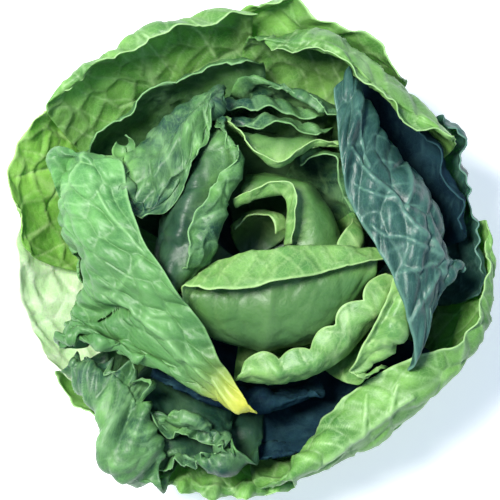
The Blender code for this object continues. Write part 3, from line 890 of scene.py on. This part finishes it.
def ruffles(x, y, look, seed):
    """Waves along the free edge."""
    turn = (x + 0.4 * y) * math.tau / look.ruffle_length
    wave = np.sin(turn + 2.2 * wander(x, y, 40.0, seed + 8)) * (1.0 + 0.8 * wander(x, y, 33.0, seed + 10))
    return look.ruffle * (wave + 0.35 * np.sin(turn * 2.7))


def from_stroke(fine, stroke):
    """How far each point is in plan from a stroke, as a share of its half width."""
    start, end = (polar(azimuth, reach, 0)[:2] for azimuth, reach in (stroke.start, stroke.end))
    run = end - start
    place = fine[:, :, :2] - start
    share = np.clip(place @ run / (run @ run), 0, 1)
    aside = place - share[:, :, None] * run
    taper = 1.2 - 0.6 * share
    return np.linalg.norm(aside, axis=2) / MILLIMETRE / (stroke.half_width * taper)


def stroke_heights(fine, place, look, seed, share):
    """The heights of the leaf's own veins and creases, and a mask of the veins among them."""
    height, veins = np.zeros_like(share), np.zeros_like(share)
    warped = fine + MILLIMETRE * STROKE_WARP * wander(*place, STROKE_WARP_SIZE, seed + 11)[:, :, None]
    for stroke in look.strokes:
        near = np.exp(-(from_stroke(warped, stroke) ** 2)) * np.clip(share * 3 - 0.9, 0, 1)
        height += stroke.height * near
        if stroke.height > 0 and stroke.half_width < WIDEST_VEIN:
            veins = np.maximum(veins, near**2)
    return height, veins


def yellowing(fine, look):
    """1 at the yellowed tip, falling to 0 over its reach."""
    if look.tip < 0:
        return np.zeros(fine.shape[:2])
    tip = fine[-1, int(look.tip * (fine.shape[1] - 1))]
    from_tip = np.linalg.norm(fine - tip, axis=2) / MILLIMETRE
    return np.exp(-((from_tip / YELLOW_REACH) ** 2))


# %% The whole surface
def surface(fine, look, seed, folds_at):
    """Heights outwards, and the masks that the finish reads.

    Where the edge folds over, the wall below the fold is painted darker, as shade under the fold.
    """
    x, y = flat_place(fine)
    share = np.linspace(0.0, 1.0, fine.shape[0])[:, None] * np.ones(fine.shape[:2])
    side = np.abs(np.linspace(-1.0, 1.0, fine.shape[1]))[None, :] * np.ones(fine.shape[:2])
    free = np.maximum(share**5, side**8 * share)

    warped_x = x + CELL_WARP * wander(x, y, CELL_WARP_SIZE, seed + 1)
    warped_y = y + CELL_WARP * wander(x, y, CELL_WARP_SIZE, seed + 2)
    rib = midrib(x, share)
    veins = vein_lines(warped_x, warped_y, look.vein_step, seed + 3) * np.clip(share * 4, 0, 1)
    cell = cells(warped_x, warped_y, look.blister_size, seed + 4)
    small = cells(warped_x, warped_y, look.blister_size * SMALL_BULGE_SIZE, seed + 5)
    stroke_height, drawn_veins = stroke_heights(fine, (x, y), look, seed, share)

    height = blisters(cell, small, rib, look) * np.clip(share * 3, 0, 1)
    height += look.rib * rib * (1 - share) + look.vein * veins
    height += crumples(x, y, look, seed) * share + ruffles(x, y, look, seed) * free + stroke_height
    masks = {
        "vein": np.clip(np.maximum(np.maximum(veins, drawn_veins), rib * 1.2), 0, 1),
        # painted shade on the wall below a folded edge
        "under": np.clip((folds_at - share) * 12, 0, 1) if folds_at < 1 else share * 0,
        "net": np.exp(-((cell / NET_WIDTH) ** 2)),
        # painted shade, strongest between the bulges
        "painted_hollow_shade": np.clip(1.0 - cell * 2.6, 0, 1),
        "foot": np.clip(1.0 - share * 2.2, 0, 1),
        "edge": np.clip((share - 0.985) / 0.01, 0, 1),
        "tip": yellowing(fine, look),
    }
    return height * MILLIMETRE, masks, (x, y, share)


# %% The free edge
def cut_edge(fine, look, seed):
    """The net with its free edge drawn back unevenly, or into lobes."""
    count = fine.shape[1]
    along = np.linspace(0.0, 1.0, count)
    length = np.linalg.norm(np.diff(fine[-1], axis=0), axis=1).sum() / MILLIMETRE
    back = look.notch * (wander(along * length, along * 0, 9.0, seed) + 1) / 2
    back += look.notch * 0.4 * (wander(along * length, along * 0, 3.5, seed + 1) + 1) / 2
    if look.lobes:
        back += LOBE_DEPTH * (1 - np.abs(np.sin(along * math.pi * look.lobes)) ** 0.7)
    share = np.linspace(0.0, 1.0, fine.shape[0])[:, None, None]
    inwards = fine[-4] - fine[-1]
    inwards /= np.maximum(np.linalg.norm(inwards, axis=1, keepdims=True), 1e-9)
    return fine + inwards[None] * (back * MILLIMETRE)[None, :, None] * share**6


# %% [markdown]
# ## Building a leaf
# A leaf is a thin sheet with a thick rib. A flat grid is moved onto the worked-out surface, and
# Solidify gives it the blade's thickness, so both its faces stay the same distance apart. A vertex
# group makes it thicker along the rib. The sheet is torn before it is thickened, so that the holes
# have edges too.

# %% Holes, mesh and thickness
RIB_THICKNESS = 0.0022
LEAST_RIB = 0.02  # a weaker rib isn't thicker than the blade


def torn(fine, tears, seed):
    """True at the points that lie in a hole."""
    ragged = 1.0 + 0.35 * wander(fine[:, :, 0] / MILLIMETRE, fine[:, :, 1] / MILLIMETRE, 4.0, seed)
    return np.min([from_stroke(fine, hole) for hole in tears], axis=0) < ragged


def tear(mesh, inside):
    """Opens the holes in a leaf's sheet."""
    inside = inside.reshape(-1)
    sheet = bmesh.new()
    sheet.from_mesh(mesh)
    sheet.verts.ensure_lookup_table()
    lost = [face for face in sheet.faces if all(inside[vertex.index] for vertex in face.verts)]
    bmesh.ops.delete(sheet, geom=lost, context="FACES")
    sheet.to_mesh(mesh)
    sheet.free()


def sheet_mesh(name, shaped, flat_x, flat_y):
    """A flat grid moved onto the leaf's surface, with the leaf laid flat as its UVs."""
    rows, columns = shaped.shape[:2]
    grid = bmesh.new()
    bmesh.ops.create_grid(grid, x_segments=columns - 1, y_segments=rows - 1, size=1.0)
    for vertex, place in zip(grid.verts, shaped.reshape(-1, 3)):
        vertex.co = place
    flat = grid.loops.layers.uv.new("flat")
    for face in grid.faces:
        face.smooth = True
        for loop in face.loops:
            loop[flat].uv = (flat_x[loop.vert.index], flat_y[loop.vert.index])
    mesh = bpy.data.meshes.new(name)
    grid.to_mesh(mesh)
    grid.free()
    return mesh


def thicken(leaf):
    """Gives the sheet a blade's thickness, and more along its rib."""
    thick = leaf.vertex_groups.new(name="rib")
    for index, point in enumerate(leaf.data.attributes["rib"].data):
        if point.value > LEAST_RIB:
            thick.add([index], point.value, "REPLACE")
    wall = leaf.modifiers.new("blade", "SOLIDIFY")
    wall.thickness = RIB_THICKNESS
    wall.offset = 0.0
    wall.vertex_group = "rib"
    wall.thickness_vertex_group = VISIBLE_BLADE / RIB_THICKNESS


# %% One leaf
def shaped_leaf(leaf_plan, look, order):
    """The points of a leaf's surface, its masks, its flat places and its unshaped points."""
    net = nets[leaf_plan.name]
    middle = refined(net)
    allowed = room(middle, outward_normals(middle), tree_without(leaf_plan.name))
    fine = cut_edge(fine_net(net, look.fineness * MILLIMETRE), look, 100 + order)
    folded = leaf_plan.roll_width > 0 and leaf_plan.flap
    folds_at = (WALL_ROWS - 1) / (len(net) - 1) if folded else 1.0
    height, masks, (x, y, share) = surface(fine, look, 1000 + 20 * order, folds_at)
    rows, columns = fine.shape[:2]
    out, back = (between(between(a, rows).T, columns).T.clip(LEAST_ROOM) for a in allowed)
    height = np.where(height > 0, out * np.tanh(height / out), back * np.tanh(height / back))
    height *= np.clip(share * 10, 0, 1)
    shaped = fine + outward_normals(fine) * height[:, :, None]
    shaped[:, :, 2] = np.maximum(shaped[:, :, 2], FLOOR_GAP)
    masks["rib"] = masks["vein"] * (1 - share) * 0.9
    return shaped, masks, (x / 100, y / 100), fine


def build_leaf(leaf_plan, order):
    """A leaf with its real surface, riding on the head in place of its plain solid."""
    name = leaf_plan.name
    look = look_of(name)
    shaped, masks, (flat_x, flat_y), fine = shaped_leaf(leaf_plan, look, order)
    mesh = sheet_mesh(name + "_surface", shaped, flat_x.reshape(-1), flat_y.reshape(-1))
    for mask, values in masks.items():
        layer = mesh.attributes.new(mask, "FLOAT", "POINT")
        layer.data.foreach_set("value", values.reshape(-1).astype(np.float32))
    if look.tears:
        tear(mesh, torn(fine, look.tears, 1000 + 20 * order))
    leaf = bpy.data.objects.new(name + "_surface", mesh)
    bpy.context.scene.collection.objects.link(leaf)
    thicken(leaf)
    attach(leaf, "root")
    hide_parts(name)
    finish_of(name)
    return leaf


# %% Every leaf
leaves = {plan.name: build_leaf(plan, order) for order, plan in enumerate(LEAVES)}
print(len(leaves), "leaves,", sum(len(o.data.polygons) for o in leaves.values()), "faces before thickness")

# %% [markdown]
# ## Writing a finish as sums
# A material is a small calculation at each point. As a list of nodes and links it is hard to read, so
# a socket is wrapped in a class that lets the calculation be written as one.

# %% The socket class
class Value:
    """A shader socket that can be added to, multiplied and compared."""

    def __init__(self, tree, socket):
        self.tree = tree
        self.socket = socket

    def node(self, kind, settings=None, output=0, **inputs):
        """Another node's output, with its settings made first and its inputs by name or number."""
        made = self.tree.nodes.new(kind)
        for key, setting in (settings or {}).items():
            setattr(made, key, setting)
        for key, given in inputs.items():
            socket = made.inputs[int(key[1:])] if key[0] == "i" and key[1:].isdigit() else made.inputs[key]
            if isinstance(given, Value):
                self.tree.links.new(given.socket, socket)
            else:
                socket.default_value = given
        return Value(self.tree, made.outputs[output])

    def maths(self, operation, first, second=0.0):
        """A Math node."""
        return self.node("ShaderNodeMath", {"operation": operation}, i0=first, i1=second)

    def __add__(self, other):
        return self.maths("ADD", self, other)

    __radd__ = __add__

    def __sub__(self, other):
        return self.maths("SUBTRACT", self, other)

    def __rsub__(self, other):
        return self.maths("SUBTRACT", other, self)

    def __mul__(self, other):
        return self.maths("MULTIPLY", self, other)

    __rmul__ = __mul__

    def __pow__(self, other):
        return self.maths("POWER", self, other)

    def kept(self):
        """Held between 0 and 1."""
        return self.node("ShaderNodeClamp", Value=self)


def blend_colours(mask, under, over):
    """Under where the mask is 0, over where it is 1."""
    return mask.node("ShaderNodeMix", {"data_type": "RGBA"}, 2, i0=mask, i6=under, i7=over)


# %% [markdown]
# ## The leaf finish
# A lettuce leaf is thin, wet and waxy: light goes into it and comes out green, and its bulges catch a
# soft white gloss. Its veins are pale, and its blade is mottled, with painted shade between bulges and
# below a folded edge. Its foot is pale on the brightest leaves; on the rest it is painted dark, as shade.
# It could be painted by hand, leaf by leaf. One function makes it from four colours, so that the
# finishes differ only in what they are given.

# %% Greens
class Greens(NamedTuple):
    """The colours of a finish, and how glossy it is."""

    blade: tuple
    light: tuple
    vein: tuple
    # the foot is pale on the brightest finishes; on the rest its colour is painted shade deep in the head
    foot: tuple
    roughness: float
    shine: float = 0.35


GREENS = {
    "heart_leaf": Greens(
        (0.078, 0.225, 0.052), (0.24, 0.45, 0.115), (0.38, 0.58, 0.22), (0.10, 0.20, 0.12), 0.46),
    "inner_leaf": Greens(
        (0.014, 0.060, 0.038), (0.135, 0.32, 0.080), (0.22, 0.42, 0.17), (0.012, 0.04, 0.055), 0.46, 0.3),
    "bright_leaf": Greens(
        (0.034, 0.145, 0.040), (0.15, 0.39, 0.105), (0.28, 0.53, 0.21), (0.40, 0.64, 0.30), 0.46),
    "blue_green_leaf": Greens(
        (0.012, 0.050, 0.042), (0.036, 0.115, 0.086), (0.13, 0.27, 0.20), (0.006, 0.022, 0.042), 0.42, 0.35),
    "outer_leaf": Greens(
        (0.060, 0.19, 0.036), (0.21, 0.44, 0.092), (0.37, 0.59, 0.24), (0.10, 0.20, 0.08), 0.48),
    # painted shade: near-black navy for leaves that stand deep in the gaps
    "painted_shade_leaf": Greens(
        (0.004, 0.014, 0.028), (0.010, 0.036, 0.048), (0.03, 0.08, 0.09), (0.003, 0.009, 0.026), 0.8, 0.05),
    # painted sunlight: a brighter copy of the outer finish, with a yellower hue
    "painted_sunlight_leaf": Greens(
        (0.12, 0.34, 0.040), (0.28, 0.54, 0.090), (0.44, 0.64, 0.24), (0.20, 0.40, 0.10), 0.48),
    # painted glare: near-white, for the leaf on the lamp's side
    "painted_glare_leaf": Greens(
        (0.46, 0.68, 0.34), (0.70, 0.86, 0.56), (0.84, 0.92, 0.72), (0.82, 0.90, 0.70), 0.5),
}


SPECK = (0.10, 0.06, 0.02)
MOTTLE_SCALE = 38.0  # patches a few centimetres across, by the place on the head
SPECK_SCALE = 150.0  # the rest are over the flat leaf, in cells to the decimetre
HAIR_SCALE = 34.0
FINE_HAIR_SCALE = 90.0
SPOT_SCALE = 3.2
PALE_FROM = 0.030  # the left blade is palest beyond this, in metres along Y
PALE_FADE = 25.0


def attribute(tree, name):
    """A mask that the leaves carry."""
    node = tree.nodes.new("ShaderNodeAttribute")
    node.attribute_name = name
    return Value(tree, node.outputs["Fac"])


# %% One finish
def opaque(colour, share=1.0):
    """The colour darkened to that share, as a socket takes it."""
    return (*(share * part for part in colour), 1.0)


def leaf_colour(tree, place, flat, greens, tip, patterns):
    """The leaf's colour: a mottled blade with painted shade between bulges, then its veins, painted shade
    below a fold, its foot (painted shade on all but the brightest finishes) and its spots.
    """
    mottle, speck, web, fine_web = patterns
    vein, net, foot, edge = (attribute(tree, mask) for mask in ("vein", "net", "foot", "edge"))
    patches = ((mottle - 0.36) * 3.2 + (speck - 0.5) * 0.5).kept()
    colour = blend_colours(patches, opaque(greens.blade), opaque(greens.light))
    # painted shade: the blade darkened between the bulges
    colour = blend_colours(attribute(tree, "painted_hollow_shade") * 0.45, colour, opaque(greens.blade, 0.55))
    colour = blend_colours((web * 0.16 + fine_web * 0.08).kept(), colour, opaque(greens.vein))
    colour = blend_colours((vein * 0.65 + net * 0.28).kept(), colour, opaque(greens.vein))
    # painted shade on the wall below a folded edge
    colour = blend_colours((attribute(tree, "under") * 0.85).kept(), colour, opaque(greens.blade, 0.6))
    # the foot's colour: pale on the brightest finishes, painted shade on the rest
    colour = blend_colours((foot ** 1.4 * 0.9).kept(), colour, opaque(greens.foot))
    colour = blend_colours((edge * 0.7).kept(), colour, opaque(greens.vein))
    spots = flat.node("ShaderNodeTexVoronoi", {"feature": "F1"}, Vector=flat, Scale=SPOT_SCALE)
    colour = blend_colours(((1.0 - spots * 26.0).kept() * 0.7).kept(), colour, opaque(SPECK))
    if tip:
        along = place.node("ShaderNodeSeparateXYZ", None, 1, Vector=place)
        deeper = ((PALE_FROM - along) * PALE_FADE).kept()
        colour = blend_colours(deeper * 0.5, colour, opaque(greens.light, 0.45))
        colour = blend_colours((attribute(tree, "tip") * 0.9).kept(), colour, opaque(tip))
    return colour


def leaf_finish(name, greens, tip=None):
    """The finish of one kind of leaf."""
    made = bpy.data.materials.new(name + "_finish")
    made.use_nodes = True
    tree = made.node_tree
    shader = tree.nodes["Principled BSDF"]
    flat = tree.nodes.new("ShaderNodeUVMap")
    flat.uv_map = "flat"
    flat = Value(tree, flat.outputs[0])
    place = tree.nodes.new("ShaderNodeTexCoord")
    place = Value(tree, place.outputs["Object"])

    mottle = place.node(
        "ShaderNodeTexNoise", Vector=place, Scale=MOTTLE_SCALE, Detail=4.0, Roughness=0.6)
    speck = flat.node("ShaderNodeTexNoise", Vector=flat, Scale=SPECK_SCALE, Detail=3.0)
    to_edge = {"feature": "DISTANCE_TO_EDGE"}
    hairs = flat.node("ShaderNodeTexVoronoi", to_edge, Vector=flat, Scale=HAIR_SCALE)
    fine = flat.node("ShaderNodeTexVoronoi", to_edge, Vector=flat, Scale=FINE_HAIR_SCALE)
    web = (1.0 - hairs * 14.0).kept()
    fine_web = (1.0 - fine * 9.0).kept()

    colour = leaf_colour(tree, place, flat, greens, tip, (mottle, speck, web, fine_web))
    rough = (mottle - 0.5) * 0.25 + greens.roughness + web * 0.06
    height = fine * 0.35 + hairs * 0.9 + speck * 0.12
    bump = flat.node("ShaderNodeBump", None, 0, Strength=0.35, Distance=0.0006, Height=height)
    tree.links.new(colour.socket, shader.inputs["Base Color"])
    tree.links.new(rough.kept().socket, shader.inputs["Roughness"])
    tree.links.new(bump.socket, shader.inputs["Normal"])
    shader.inputs["Subsurface Weight"].default_value = 0.12
    shader.inputs["Subsurface Radius"].default_value = (0.6, 1.0, 0.25)
    shader.inputs["Subsurface Scale"].default_value = 0.003
    shader.inputs["Coat Weight"].default_value = greens.shine * 0.2
    shader.inputs["Coat Roughness"].default_value = 0.3
    shader.inputs["Specular IOR Level"].default_value = greens.shine
    return made


# %% Finish every leaf
YELLOWED = (0.62, 0.60, 0.06)
finishes = {name: leaf_finish(name, greens) for name, greens in GREENS.items()}
finishes["yellow_tipped"] = leaf_finish("yellow_tipped", GREENS["bright_leaf"], YELLOWED)
CHOSEN = {
    "left_blade": "yellow_tipped",
    # painted glare on the left base leaf
    "left_base_leaf": "painted_glare_leaf",
    "low_left_leaf": "inner_leaf",
    # painted sunlight on the far left open leaf
    "far_left_open_leaf": "painted_sunlight_leaf",
    # painted shade on these three hidden leaves
    "right_inner_wall_leaf": "painted_shade_leaf",
    "near_dark_wall_leaf": "painted_shade_leaf",
    "inner_near_leaf": "painted_shade_leaf",
}
for name, leaf in leaves.items():
    chosen = CHOSEN.get(name, finish_of(name))
    leaf.data.materials.append(finishes[chosen])
print(len(finishes), "finishes")

# %% [markdown]
# ## The stem
# The stem's cone is right as the plain model has it, and only its finish is missing. A cut stem is
# pale and wet, and browns a little in rings where it meets the air.

# %% Stem finish
CUT_FLESH = (0.66, 0.68, 0.42)
BROWNED = (0.50, 0.40, 0.20)


def stem_finish():
    """The cut stem's pale, faintly ringed flesh."""
    made = bpy.data.materials.new("cut_stem_finish")
    made.use_nodes = True
    tree = made.node_tree
    shader = tree.nodes["Principled BSDF"]
    place = tree.nodes.new("ShaderNodeTexCoord")
    place = Value(tree, place.outputs["Object"])
    ring = place.node(
        "ShaderNodeTexWave", {"wave_type": "RINGS", "rings_direction": "Z"}, Vector=place,
        Scale=90.0, Distortion=3.0, Detail=2.0)
    grain = place.node("ShaderNodeTexNoise", Vector=place, Scale=420.0, Detail=3.0)
    colour = blend_colours((ring * 0.35 + grain * 0.3).kept(), opaque(CUT_FLESH), opaque(BROWNED))
    tree.links.new(colour.socket, shader.inputs["Base Color"])
    tree.links.new((grain * 0.3 + 0.4).kept().socket, shader.inputs["Roughness"])
    bump = place.node("ShaderNodeBump", None, 0, Strength=0.3, Distance=0.0004, Height=grain)
    tree.links.new(bump.socket, shader.inputs["Normal"])
    return made


stem_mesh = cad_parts["stem"].data
stem_mesh.materials.clear()
stem_mesh.materials.append(stem_finish())
print("stem finished")

# %% [markdown]
# ## Floor and light
# The head stands alone on a plain pale floor that glows a little, which keeps its shadow light. A soft
# lamp stands high on the left. A weak one on the right and a cool sky leave the gaps between the
# leaves deep and blue, and painted shade on the hidden leaves and the leaf feet makes them darker still.

# %% Floor
def stage_floor():
    """A pale floor, wider than the camera sees."""
    plane = bmesh.new()
    bmesh.ops.create_grid(plane, x_segments=1, y_segments=1, size=3.0)
    mesh = bpy.data.meshes.new("floor")
    plane.to_mesh(mesh)
    plane.free()
    floor = bpy.data.objects.new("floor", mesh)
    bpy.context.scene.collection.objects.link(floor)
    made = bpy.data.materials.new("pale_floor")
    made.use_nodes = True
    shader = made.node_tree.nodes["Principled BSDF"]
    shader.inputs["Base Color"].default_value = (0.94, 0.94, 0.94, 1.0)
    shader.inputs["Roughness"].default_value = 0.9
    shader.inputs["Emission Color"].default_value = (1.0, 1.0, 1.0, 1.0)
    shader.inputs["Emission Strength"].default_value = 0.45
    mesh.materials.append(made)
    floor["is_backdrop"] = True


stage_floor()


# %% Lamps and sky
def lamp(name, place, size, power, colour):
    """A square soft lamp that looks at the head."""
    light = bpy.data.lights.new(name, "AREA")
    light.size = size
    light.energy = power
    light.color = colour
    made = bpy.data.objects.new(name, light)
    bpy.context.scene.collection.objects.link(made)
    made.location = place
    made.rotation_euler = (Vector(AIM) - Vector(place)).to_track_quat("-Z", "Y").to_euler()


lamp("key", (-0.50, 0.12, 1.25), 0.40, 31.0, (1.0, 1.0, 0.96))
lamp("fill", (0.7, -0.5, 1.2), 1.0, 3.0, (0.70, 0.85, 1.0))
sky = bpy.data.worlds.new("sky")
sky.use_nodes = True
sky.node_tree.nodes["Background"].inputs["Color"].default_value = (0.36, 0.56, 1.0, 1.0)
sky.node_tree.nodes["Background"].inputs["Strength"].default_value = 0.44
bpy.context.scene.world = sky
bpy.context.scene.view_settings.view_transform = "Standard"
print("lit")

# %% [markdown]
# ## Measure and finish
# The box of the finished head is printed.

# %% Write the boxes
low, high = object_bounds()
print("visual box", [round(v, 4) for v in low], [round(v, 4) for v in high])
